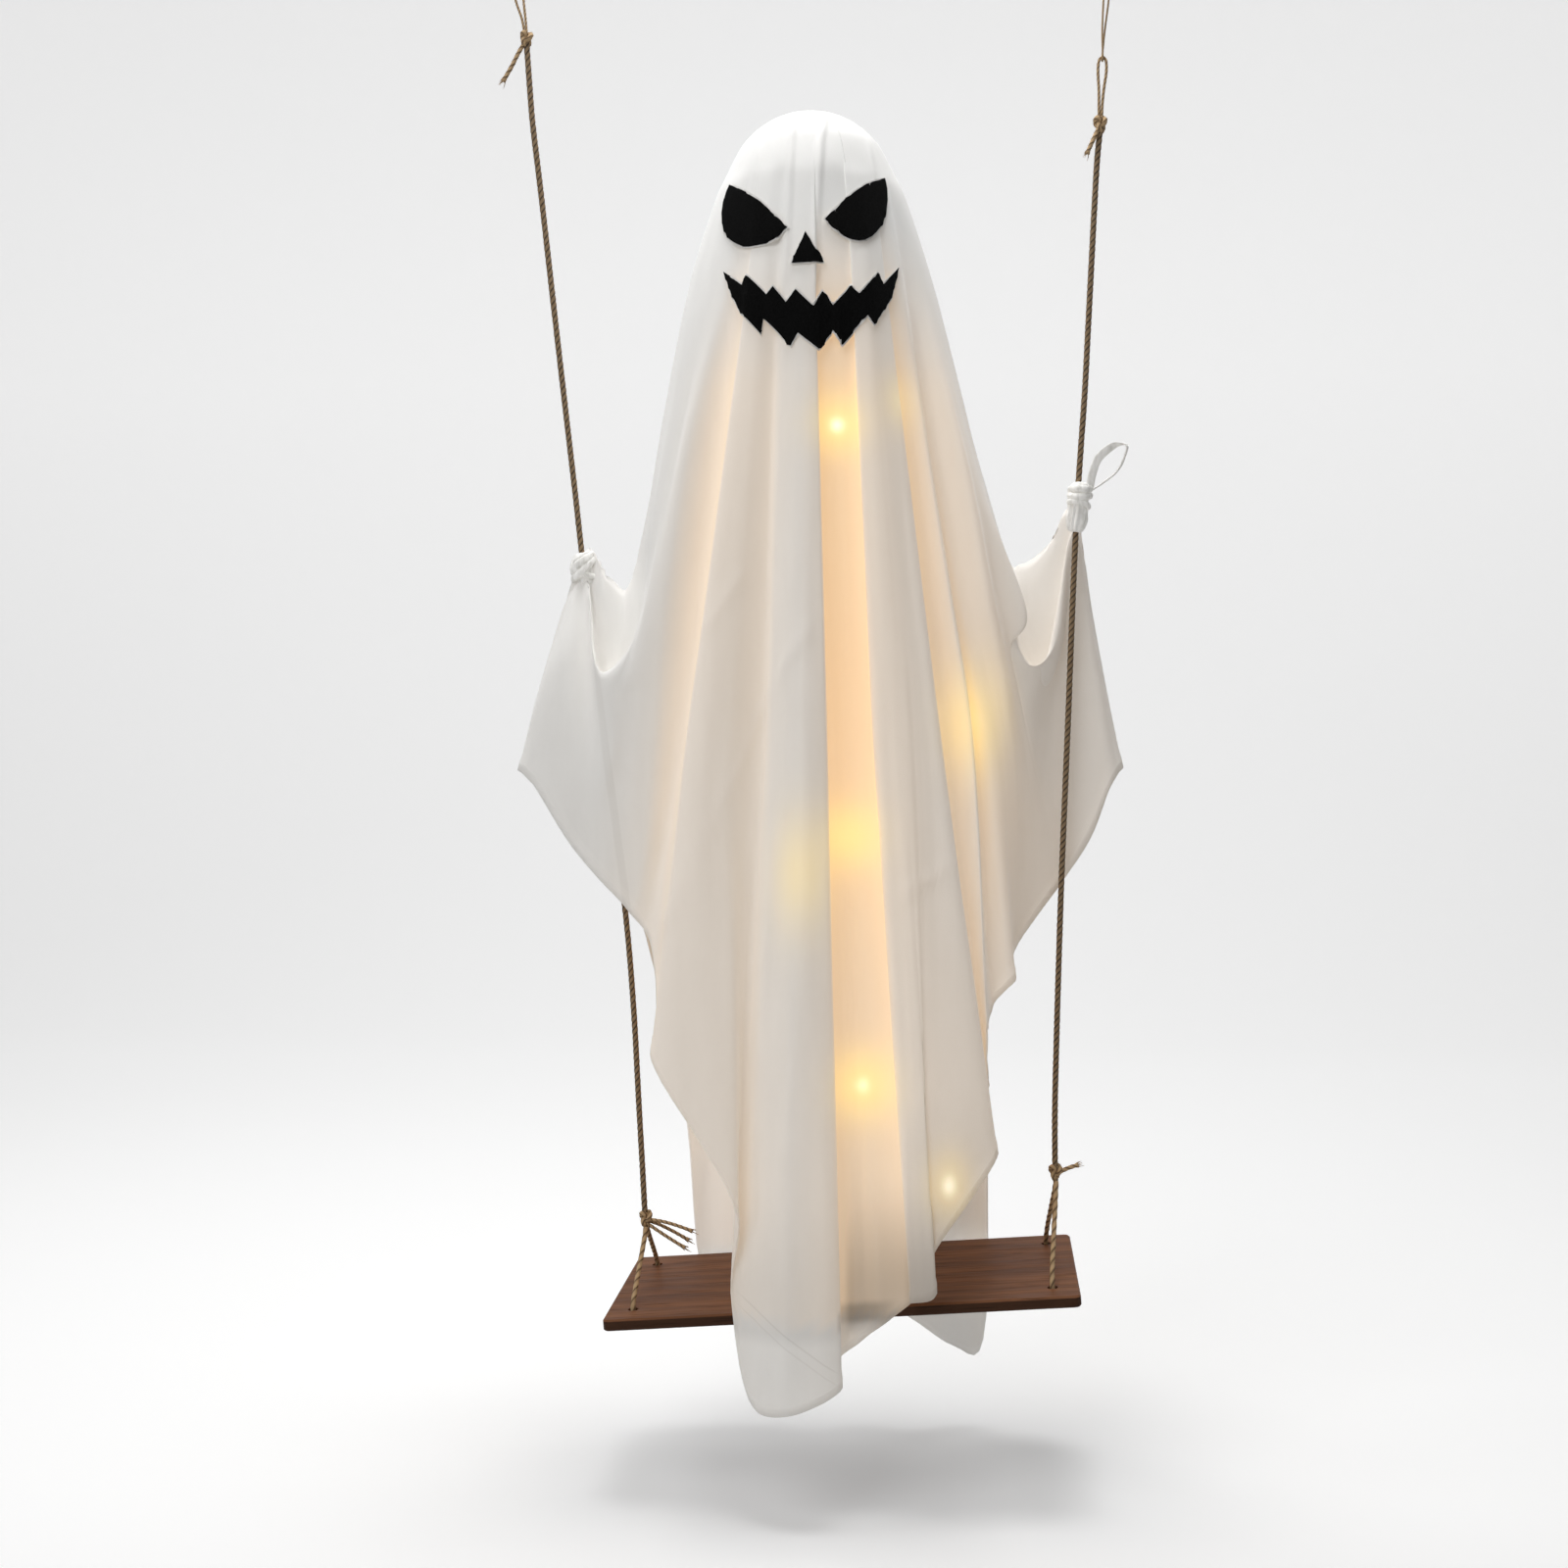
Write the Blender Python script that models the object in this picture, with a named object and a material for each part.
"""A sheet ghost seated on a rope swing that hangs from two ceiling hooks.

Metres, +Z up. The origin is on the ceiling, midway between the hooks.
+X is to the right and -Y is the front. The swing turns about the line
through both hooks, where the rope loops rest on the hook wires.
"""
import bmesh
import bpy
from math import atan2, cos, pi, radians, sin
from mathutils import Matrix, Vector

# Clearances and mesh counts
GAP = 0.0003
OVERRUN = 0.002
ROUND_STEPS = 24
SMALL_ROUND_STEPS = 12
BALL_RINGS = 12

# Swing seat and its hang
HANG_SPACING = 0.570
SEAT_LENGTH = 0.450
SEAT_DEPTH = 0.220
SEAT_THICKNESS = 0.011
SEAT_CORNER = 0.006
SEAT_EDGE = 0.0015
SEAT_OFFSET = 0.037
SEAT_DROP = 1.319
SEAT_ROLL = radians(4.5)
ROPE_HOLE = 0.0105
ROPE_HOLE_END_INSET = 0.025
ROPE_HOLE_SIDE_INSET = 0.032

# Ceiling hooks
HOOK_PLATE_RADIUS = 0.020
HOOK_PLATE_THICKNESS = 0.003
HOOK_WIRE = 0.004
HOOK_RADIUS = 0.009
HOOK_DROP = 0.036
HOOK_TIP = 0.005
HOOK_SCREW_HOLE = 0.0042
HOOK_SCREW_RADIUS = 0.014

# Ropes
ROPE = 0.006
SEAT_ROPE = 0.005
EYE_STRAND = 0.003
LOOP_STRAND = 0.0026
TWINE = 0.002
TAIL_STRAND = 0.0032
ROPE_STEP_SHARE = 3.0
LOOP_STEPS = 2
WIRE_STEPS = 4
KNOT_RADIUS = 0.0068
KNOT_HEIGHT = 0.018
KNOT_LEG_TILT = radians(33.75)
LEFT_TOP_TAIL = 0.047
RIGHT_TOP_TAIL = 0.031
LEFT_SEAT_TAIL = 0.053
RIGHT_SEAT_TAIL = 0.025
LEFT_SEAT_KNOT_HEIGHT = 0.0675
LEFT_SEAT_KNOT_OFFSET = 0.1946
RIGHT_SEAT_KNOT_HEIGHT = 0.0905
RIGHT_SEAT_KNOT_OFFSET = 0.2125

# Post and head
POST_RADIUS = 0.011
POST_OFFSET = 0.047
HEAD_HEIGHT = 1.050
HEAD_RADIUS = 0.080
HEAD_BORE_DEPTH = 0.060
FLANGE_RADIUS = 0.038
FLANGE_THICKNESS = 0.003
SOCKET_WALL = 0.0027
SOCKET_HEIGHT = 0.035
FLANGE_SCREW_RADIUS = 0.028
SCREW_SHANK = 0.004
SCREW_HEAD = 0.008
SCREW_HEAD_HEIGHT = 0.0024
SCREW_REACH = 0.008

# Light string and its battery case
WIRE = 0.002
BULB_RADIUS = 0.0026
BULB_LENGTH = 0.011
CASE_WALL = 0.002
CASE_MIDDLE_HEIGHT = 0.087
CLIP_WALL = 0.0032
CLIP_HEIGHT = 0.016
COVER_THICKNESS = 0.002
COVER_TONGUE = 0.001
GRIP_HEIGHT = 0.003
GRIP_RISE = 0.001
BATTERY_RADIUS = 0.00725
BATTERY_LENGTH = 0.0505
BATTERY_GAP = 0.0004
CONTACT_THICKNESS = 0.0008
CONTACT_NUB = 0.0045
SPRING_NUB = 0.0082
COVER_ROOM = 0.0021
SWITCH_ROOM = 0.0089
SWITCH_STEM = 0.004
SWITCH_DEPTH = 0.003
SWITCH_TRAVEL = 0.004
SWITCH_KNOB = 0.0025
SWITCH_FLANGE = 0.0012
SWITCH_DEPTH_SHARE = 0.45
CASE_WIDTH = 2 * CASE_WALL + 6 * BATTERY_RADIUS + 4 * BATTERY_GAP + SWITCH_ROOM
CASE_HEIGHT = 2 * (CASE_WALL + CONTACT_THICKNESS) + CONTACT_NUB + SPRING_NUB + BATTERY_LENGTH + 4 * GAP
CASE_DEPTH = CASE_WALL * 3 / 2 + CLIP_WALL / 2 + 2 * (BATTERY_RADIUS + BATTERY_GAP) + COVER_ROOM
CASE_DEPTH += COVER_THICKNESS

# Sheet: the units in which its folds are given, seen from the front
SHEET_THICKNESS = 0.0012
SHEET_REST = 0.0016
FIGURE_TURN = radians(5)
SHEET_HALF_WIDTH = 0.200
SHEET_HALF_DEPTH = 0.100
SHEET_LENGTH = 1.250
HAND_KNOT_RADIUS = 0.0115
DRAPE_BULGE = 0.006
LEFT_HAND_DROP = 0.619
RIGHT_HAND_DROP = 0.553
LEFT_HAND_HEIGHT = 0.034
RIGHT_HAND_HEIGHT = 0.046
HAND_LOOP_WIDTH = 0.006

# Felt face
FACE_WIDTH = 0.161
FACE_HEIGHT = 0.170
FACE_OFFSET = -0.034
FACE_DROP = 0.155
FELT = 0.0012
FELT_LIFT = 0.0005

SEAT_MIDDLE = Vector((SEAT_OFFSET, 0, -SEAT_DROP))
STRAND_TOP = -HOOK_DROP + HOOK_WIRE / 2 + LOOP_STRAND / 2 + GAP
TWINE_TOP = -HOOK_DROP + HOOK_WIRE / 2 + TWINE / 2 + GAP


def clear_scene():
    """Remove every object that the file holds."""
    for item in list(bpy.data.objects):
        bpy.data.objects.remove(item, do_unlink=True)


def material(name, color, roughness, metallic=0.0):
    """Make a material with one Principled shader."""
    made = bpy.data.materials.new(name)
    made.use_nodes = True
    shader = made.node_tree.nodes["Principled BSDF"]
    shader.inputs["Base Color"].default_value = (*color, 1)
    shader.inputs["Roughness"].default_value = roughness
    shader.inputs["Metallic"].default_value = metallic
    return made


def empty(name, place, turn=(0, 0, 0)):
    """Make an empty that carries other objects."""
    made = bpy.data.objects.new(name, None)
    made.location = place
    made.rotation_euler = turn
    bpy.context.collection.objects.link(made)
    return made


def link(name, data, look, parent=None, place=(0, 0, 0), turn=(0, 0, 0)):
    """Make an object of a mesh or curve, with its material and place."""
    made = bpy.data.objects.new(name, data)
    bpy.context.collection.objects.link(made)
    if look:
        data.materials.append(look)
    made.parent = parent
    made.location = place
    made.rotation_euler = turn
    return made


def mesh_of(work, name, smooth_angle=0.0):
    """Turn a bmesh into a mesh, shaded smooth below the given edge angle."""
    bmesh.ops.recalc_face_normals(work, faces=work.faces)
    data = bpy.data.meshes.new(name)
    work.to_mesh(data)
    work.free()
    if smooth_angle:
        data.shade_smooth()
        data.set_sharp_from_angle(angle=smooth_angle)
    return data


def add_box(work, size, middle):
    """Add a box of the given size around its middle."""
    scale = Matrix.Diagonal((*size, 1))
    bmesh.ops.create_cube(work, size=1, matrix=Matrix.Translation(middle) @ scale)


def box_mesh(name, size, middle=(0, 0, 0)):
    """Make a plain box mesh."""
    work = bmesh.new()
    add_box(work, size, middle)
    return mesh_of(work, name)


def turned_mesh(name, profile, steps=ROUND_STEPS):
    """Turn an outline of (radius, height) points about Z, with flat ends as one face."""
    work = bmesh.new()
    rings = []
    for radius, height in profile:
        if radius == 0:
            rings.append([work.verts.new((0, 0, height))])
            continue
        ring = []
        for step in range(steps):
            angle = 2 * pi * step / steps
            ring.append(work.verts.new((radius * cos(angle), radius * sin(angle), height)))
        rings.append(ring)
    closed = profile[0][0] > 0
    last = len(rings) if closed else len(rings) - 1
    for index in range(last):
        lower, upper = rings[index], rings[(index + 1) % len(rings)]
        if lower[0].co.z == upper[0].co.z and 1 in (len(lower), len(upper)):
            work.faces.new(max(lower, upper, key=len))
            continue
        for step in range(steps):
            after = (step + 1) % steps
            corners = [lower[step % len(lower)], lower[after % len(lower)]]
            corners += [upper[after % len(upper)], upper[step % len(upper)]]
            corners = list(dict.fromkeys(corners))
            if len(corners) > 2:
                work.faces.new(corners)
    for corner in [corner for corner in work.verts if not corner.link_faces]:
        work.verts.remove(corner)
    return mesh_of(work, name, radians(35))


def swept_mesh(name, points, radii, steps=SMALL_ROUND_STEPS):
    """Sweep a circle of changing radius along points, with flat ends."""
    work = bmesh.new()
    rings = []
    side = None
    for index, point in enumerate(points):
        before = points[max(index - 1, 0)]
        after = points[min(index + 1, len(points) - 1)]
        along = (after - before).normalized()
        if side is None:
            side = along.orthogonal().normalized()
        side = (side - along * side.dot(along)).normalized()
        other = along.cross(side)
        ring = []
        for step in range(steps):
            angle = 2 * pi * step / steps
            spoke = side * cos(angle) + other * sin(angle)
            ring.append(work.verts.new(point + spoke * radii[index]))
        rings.append(ring)
    for lower, upper in zip(rings, rings[1:]):
        for step in range(steps):
            after = (step + 1) % steps
            work.faces.new((lower[step], lower[after], upper[after], upper[step]))
    work.faces.new(rings[0])
    work.faces.new(rings[-1])
    return mesh_of(work, name, radians(35))


def combine(target, tool_mesh, operation="DIFFERENCE", place=(0, 0, 0), turn=(0, 0, 0)):
    """Cut or join a hidden helper body, given in the target's own frame."""
    helper = link(target.name + "_tool", tool_mesh, None, target, place, turn)
    helper.hide_render = True
    helper.display_type = "WIRE"
    step = target.modifiers.new(operation.title(), "BOOLEAN")
    step.operation = operation
    step.solver = "EXACT"
    step.object = helper
    return helper


def as_vectors(points):
    """Turn a list of places into vectors."""
    return [Vector(point) for point in points]


def smooth_through(points, share):
    """Read a point of the smooth curve through the given points, 0 to 1."""
    spans = len(points) - 1
    place = min(max(share, 0), 1) * spans
    index = min(int(place), spans - 1)
    local = place - index
    before = points[max(index - 1, 0)]
    start, end = points[index], points[index + 1]
    after = points[min(index + 2, spans)]
    bend = 2 * start + (end - before) * local
    bend += (2 * before - 5 * start + 4 * end - after) * local ** 2
    bend += (3 * start - before - 3 * end + after) * local ** 3
    return bend / 2


def even_route(points, step):
    """Points at even steps along the smooth curve through the given ones."""
    fine = [smooth_through(points, index / (20 * len(points))) for index in range(20 * len(points) + 1)]
    lengths = [0]
    for start, end in zip(fine, fine[1:]):
        lengths.append(lengths[-1] + (end - start).length)
    count = max(2, round(lengths[-1] / step))
    route, index = [], 0
    for number in range(count + 1):
        wanted = lengths[-1] * number / count
        while index < len(lengths) - 2 and lengths[index + 1] < wanted:
            index += 1
        span = lengths[index + 1] - lengths[index]
        share = (wanted - lengths[index]) / span if span else 0
        route.append(fine[index].lerp(fine[index + 1], share))
    return route


def spaced_route(points, per_span):
    """Points along the smooth curve, the same number between each two given ones."""
    count = per_span * (len(points) - 1)
    return [smooth_through(points, index / count) for index in range(count + 1)]


def cord(name, route, diameter, look, parent=None, closed=False):
    """Make a rope as a bevelled curve with filled ends."""
    if closed:
        route = route[:-1]
    data = bpy.data.curves.new(name, "CURVE")
    data.dimensions = "3D"
    data.bevel_depth = diameter / 2
    data.bevel_resolution = 2
    data.use_fill_caps = True
    spline = data.splines.new("POLY")
    spline.points.add(len(route) - 1)
    for point, place in zip(spline.points, route):
        point.co = (*place, 1)
    spline.use_cyclic_u = closed
    return link(name, data, look, parent)


clear_scene()
JUTE = material("jute", (0.56, 0.42, 0.26), 0.9)
TWINE_LOOK = material("twine", (0.62, 0.50, 0.34), 0.9)
COTTON = material("white_cotton", (0.86, 0.84, 0.80), 0.9)
FELT_LOOK = material("black_felt", (0.012, 0.012, 0.013), 0.95)
WALNUT = material("dark_wood", (0.065, 0.026, 0.014), 0.45)
DOWEL = material("pale_dowel", (0.62, 0.46, 0.29), 0.6)
FOAM = material("white_foam", (0.88, 0.88, 0.86), 0.85)
STEEL = material("zinc_steel", (0.62, 0.62, 0.63), 0.35, 1.0)
PLASTIC = material("black_plastic", (0.03, 0.03, 0.032), 0.5)
WIRE_LOOK = material("clear_wire", (0.70, 0.66, 0.55), 0.4)
BULB_LOOK = material("warm_bulb", (1.0, 0.72, 0.36), 0.3)
CELL_LOOK = material("battery_jacket", (0.16, 0.20, 0.24), 0.4)

TILT = empty("seat_tilt", SEAT_MIDDLE, (0, -SEAT_ROLL, 0))
FIGURE = empty("figure_turn", SEAT_MIDDLE, (0, 0, FIGURE_TURN))


# Ceiling hooks: a round plate with two screw holes and an open wire hook
def ceiling_hook(name, place):
    """Make one hook, whose wire runs front to back where the loop rests."""
    hook = link(name, turned_mesh(name, [
        (0, 0),
        (HOOK_PLATE_RADIUS, 0),
        (HOOK_PLATE_RADIUS, -HOOK_PLATE_THICKNESS),
        (0, -HOOK_PLATE_THICKNESS),
    ]), STEEL, None, (place, 0, 0))
    centre = -HOOK_DROP + HOOK_RADIUS
    points = [
        Vector((0, HOOK_RADIUS, -HOOK_PLATE_THICKNESS / 2)),
        Vector((0, HOOK_RADIUS, centre)),
    ]
    for step in range(1, 8):
        angle = pi * step / 8
        points.append(Vector((0, HOOK_RADIUS * cos(angle), centre - HOOK_RADIUS * sin(angle))))
    points.append(Vector((0, -HOOK_RADIUS, centre)))
    points.append(Vector((0, -HOOK_RADIUS, centre + HOOK_TIP)))
    radii = [HOOK_WIRE / 2] * len(points)
    combine(hook, swept_mesh(name + "_wire", points, radii, 10), "UNION")
    for side in (-1, 1):
        hole = turned_mesh(name + "_hole", [
            (0, OVERRUN),
            (HOOK_SCREW_HOLE / 2, OVERRUN),
            (HOOK_SCREW_HOLE / 2, -HOOK_PLATE_THICKNESS - OVERRUN),
            (0, -HOOK_PLATE_THICKNESS - OVERRUN),
        ], SMALL_ROUND_STEPS)
        combine(hook, hole, place=(side * HOOK_SCREW_RADIUS, 0, 0))
    return hook


ceiling_hook("left_ceiling_hook", -HANG_SPACING / 2)
ceiling_hook("right_ceiling_hook", HANG_SPACING / 2)


# Knots: a squashed ball of rope, with the rope's loose tails joined to it. A tail's
# points are seen from the knot's middle, as shares of the tail's length.
LEFT_TOP_TAIL_SHARES = [
    [(-0.064, -0.043, 0), (-0.191, -0.074, -0.255), (-0.340, -0.085, -0.553), (-0.479, -0.085, -0.872)],
]
RIGHT_TOP_TAIL_SHARES = [
    [(-0.097, -0.065, 0), (-0.226, -0.145, -0.387), (-0.435, -0.161, -0.903)],
]
LEFT_SEAT_TAIL_SHARES = [
    [(0.057, -0.038, 0), (0.340, -0.075, -0.057), (0.642, -0.113, -0.151), (0.962, -0.113, -0.264)],
    [(0.038, 0.019, -0.038), (0.264, 0.066, -0.113), (0.547, 0.123, -0.264), (0.830, 0.132, -0.415)],
    [(0.019, -0.019, -0.075), (0.208, -0.057, -0.226), (0.491, -0.094, -0.415), (0.792, -0.094, -0.604)],
]
RIGHT_SEAT_TAIL_SHARES = [
    [(0.120, -0.040, 0), (0.480, -0.120, 0.160), (0.960, -0.160, 0.320)],
]


def knot(name, middle, tail_length, tail_shares, parent=None):
    """Make one knot with its tails."""
    work = bmesh.new()
    bmesh.ops.create_uvsphere(work, u_segments=SMALL_ROUND_STEPS, v_segments=8, radius=KNOT_RADIUS)
    bmesh.ops.scale(work, vec=(1, 1, KNOT_HEIGHT / KNOT_RADIUS / 2), verts=work.verts)
    made = link(name, mesh_of(work, name, pi), JUTE, parent, middle)
    for points in tail_shares:
        route = [point * tail_length for point in as_vectors(points)]
        radii = [TAIL_STRAND / 2] * len(route)
        combine(made, swept_mesh(name + "_tail", route, radii, 8), "UNION")
    return made


# Rope routes: points chosen by hand along the photographed ropes
LEFT_ROPE = as_vectors([
    (-0.2758, 0, -0.1175), (-0.2736, 0, -0.150), (-0.2705, 0, -0.190),
    (-0.2635, 0, -0.250), (-0.2563, 0, -0.315), (-0.2475, 0, -0.395),
    (-0.2385, 0, -0.475), (-0.2300, 0, -0.550), (-0.2225, 0, -0.619),
    (-0.2150, 0, -0.675), (-0.2070, 0, -0.740), (-0.1990, 0, -0.810),
    (-0.1915, 0, -0.875), (-0.1840, 0, -0.940), (-0.1780, 0, -1.000),
    (-0.1730, 0, -1.070), (-0.1690, 0, -1.150), (-0.1655, 0, -1.215),
    (-0.1634, 0, -1.2574),
])
RIGHT_ROPE = as_vectors([
    (0.2779, 0, -0.2125), (0.2755, 0, -0.240), (0.2730, 0, -0.290),
    (0.2705, 0, -0.345), (0.2680, 0, -0.400), (0.2655, 0, -0.455),
    (0.2620, 0, -0.510), (0.2590, 0, -0.560), (0.2565, 0, -0.620),
    (0.2540, 0, -0.690), (0.2518, 0, -0.760), (0.2490, 0, -0.840),
    (0.2462, 0, -0.920), (0.2440, 0, -1.000), (0.2422, 0, -1.080),
    (0.2410, 0, -1.150), (0.2414, 0, -1.2025),
])
LEFT_TOP_LOOP = as_vectors([
    (-0.2752, 0, -0.0984), (-0.2770, 0, -0.0880), (-0.2788, 0, -0.0700),
    (-0.2797, 0, -0.0520), (-0.2812, 0, -0.0380), (-0.2822, 0, -0.0335),
    (-0.2850, 0, STRAND_TOP), (-0.2878, 0, -0.0335), (-0.2888, 0, -0.0380),
    (-0.2892, 0, -0.0520), (-0.2868, 0, -0.0700), (-0.2814, 0, -0.0880),
    (-0.2786, 0, -0.0984),
])
RIGHT_TWINE = as_vectors([
    (0.2850, 0, TWINE_TOP), (0.2876, 0, -0.0336), (0.2886, 0, -0.0375),
    (0.2882, 0.0005, -0.0600), (0.2856, 0.0012, -0.0870), (0.2822, 0.0028, -0.1150),
    (0.2804, 0.0036, -0.1350), (0.2801, 0.0027, -0.1418), (0.2801, 0, -0.1434),
    (0.2801, -0.0027, -0.1418), (0.2800, -0.0036, -0.1350), (0.2796, -0.0028, -0.1150),
    (0.2806, -0.0012, -0.0870), (0.2818, -0.0005, -0.0600), (0.2814, 0, -0.0375),
    (0.2824, 0, -0.0336), (0.2850, 0, TWINE_TOP),
])
RIGHT_EYE = as_vectors([
    (0.2768, 0, -0.1935), (0.2766, 0, -0.1850), (0.2766, 0, -0.1700),
    (0.2760, 0, -0.1540), (0.2768, 0, -0.1435), (0.2801, 0, -0.1402),
    (0.2834, 0, -0.1435), (0.2842, 0, -0.1540), (0.2824, 0, -0.1700),
    (0.2806, 0, -0.1850), (0.2802, 0, -0.1935),
])


def above_end(points):
    """The middle of the knot that a rope's upper end meets."""
    upward = (points[0] - points[1]).normalized()
    return points[0] + upward * (KNOT_HEIGHT / 2 + GAP)


knot("left_top_knot", above_end(LEFT_ROPE), LEFT_TOP_TAIL, LEFT_TOP_TAIL_SHARES)
knot("right_top_knot", above_end(RIGHT_ROPE), RIGHT_TOP_TAIL, RIGHT_TOP_TAIL_SHARES)
cord("left_top_loop", spaced_route(LEFT_TOP_LOOP, LOOP_STEPS), LOOP_STRAND, TWINE_LOOK)
cord("right_twine", spaced_route(RIGHT_TWINE, LOOP_STEPS), TWINE, TWINE_LOOK, closed=True)
cord("right_rope_eye", spaced_route(RIGHT_EYE, LOOP_STEPS), EYE_STRAND, JUTE)
cord("left_rope", even_route(LEFT_ROPE, ROPE * ROPE_STEP_SHARE), ROPE, JUTE)
cord("right_rope", even_route(RIGHT_ROPE, ROPE * ROPE_STEP_SHARE), ROPE, JUTE)
LEFT_SEAT_KNOT = (-LEFT_SEAT_KNOT_OFFSET, 0, LEFT_SEAT_KNOT_HEIGHT)
RIGHT_SEAT_KNOT = (RIGHT_SEAT_KNOT_OFFSET, 0, RIGHT_SEAT_KNOT_HEIGHT)
knot("left_seat_knot", LEFT_SEAT_KNOT, LEFT_SEAT_TAIL, LEFT_SEAT_TAIL_SHARES, TILT)
knot("right_seat_knot", RIGHT_SEAT_KNOT, RIGHT_SEAT_TAIL, RIGHT_SEAT_TAIL_SHARES, TILT)


# Seat loops: the rope runs from the knot down one hole, under the seat and up the
# other. Half way down a leg its place is a share of the hole's and its height a share
# of the knot's. By the hole its places are shares of the hole's or the rope's diameter.
LEG_START_SHARE = 1.5
LEG_PLACE_SHARE = 0.5
LEG_HEIGHT_SHARE = 0.54
HOLE_REACH_SHARE = 0.8
HOLE_RISE_SHARE = 1.9
MOUTH_REACH_SHARE = 0.3
MOUTH_RISE_SHARE = 0.9
UNDER_REACH_SHARE = 1.04


def seat_loop(name, knot_offset, knot_height, side):
    """Make the loop on one side, in the seat's frame."""
    hole_x = side * (SEAT_LENGTH / 2 - ROPE_HOLE_END_INSET)
    hole_y = SEAT_DEPTH / 2 - ROPE_HOLE_SIDE_INSET
    start_y = KNOT_RADIUS * sin(KNOT_LEG_TILT) + 2 * GAP
    start_z = knot_height - KNOT_HEIGHT / 2 * cos(KNOT_LEG_TILT) - GAP
    under = -SEAT_THICKNESS - SEAT_ROPE / 2 - GAP
    front = [
        (knot_offset, -start_y, start_z),
        (knot_offset, -start_y - SEAT_ROPE * LEG_START_SHARE, start_z - SEAT_ROPE * LEG_START_SHARE),
        ((knot_offset + hole_x) / 2, -hole_y * LEG_PLACE_SHARE, start_z * LEG_HEIGHT_SHARE),
        (hole_x, ROPE_HOLE * HOLE_REACH_SHARE - hole_y, SEAT_ROPE * HOLE_RISE_SHARE),
        (hole_x, SEAT_ROPE * MOUTH_REACH_SHARE - hole_y, SEAT_ROPE * MOUTH_RISE_SHARE),
        (hole_x, -hole_y, -SEAT_THICKNESS / 2),
        (hole_x, SEAT_ROPE * MOUTH_REACH_SHARE - hole_y, under),
        (hole_x, ROPE_HOLE * UNDER_REACH_SHARE - hole_y, under),
        (hole_x, -hole_y / 3, under),
    ]
    back = [(x, -y, z) for x, y, z in reversed(front)]
    return cord(name, spaced_route(as_vectors(front + back), LOOP_STEPS), SEAT_ROPE, JUTE, TILT)


seat_loop("left_seat_loop", -LEFT_SEAT_KNOT_OFFSET, LEFT_SEAT_KNOT_HEIGHT, -1)
seat_loop("right_seat_loop", RIGHT_SEAT_KNOT_OFFSET, RIGHT_SEAT_KNOT_HEIGHT, 1)


# Seat board, with a hole near each corner and blind holes for the flange screws
def seat():
    """Make the board with its top face at the seat frame's zero."""
    work = bmesh.new()
    add_box(work, (SEAT_LENGTH, SEAT_DEPTH, SEAT_THICKNESS), (0, 0, -SEAT_THICKNESS / 2))
    upright = [edge for edge in work.edges if abs(edge.verts[0].co.z - edge.verts[1].co.z) > GAP]
    bmesh.ops.bevel(work, geom=upright, offset=SEAT_CORNER, segments=3, affect="EDGES", profile=0.5)
    board = link("seat_board", mesh_of(work, "seat_board"), WALNUT, TILT)
    board.data.shade_smooth()
    board.data.set_sharp_from_angle(angle=radians(30))
    hole_x = SEAT_LENGTH / 2 - ROPE_HOLE_END_INSET
    hole_y = SEAT_DEPTH / 2 - ROPE_HOLE_SIDE_INSET
    for x in (-hole_x, hole_x):
        for y in (-hole_y, hole_y):
            combine(board, turned_mesh("rope_hole", [
                (0, -SEAT_THICKNESS - OVERRUN),
                (ROPE_HOLE / 2, -SEAT_THICKNESS - OVERRUN),
                (ROPE_HOLE / 2, OVERRUN),
                (0, OVERRUN),
            ], SMALL_ROUND_STEPS), place=(x, y, 0))
    for number in range(4):
        angle = pi / 4 + number * pi / 2
        place = (POST_OFFSET + FLANGE_SCREW_RADIUS * cos(angle), FLANGE_SCREW_RADIUS * sin(angle), 0)
        combine(board, turned_mesh("screw_hole", [
            (0, -SCREW_REACH - GAP),
            (SCREW_SHANK / 2 + GAP, -SCREW_REACH - GAP),
            (SCREW_SHANK / 2 + GAP, OVERRUN),
            (0, OVERRUN),
        ], SMALL_ROUND_STEPS), place=place)
    bevel = board.modifiers.new("Eased edges", "BEVEL")
    bevel.width = SEAT_EDGE
    bevel.segments = 1
    bevel.limit_method = "ANGLE"
    bevel.angle_limit = radians(60)
    board.modifiers.move(len(board.modifiers) - 1, 0)
    return board


seat()


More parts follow.
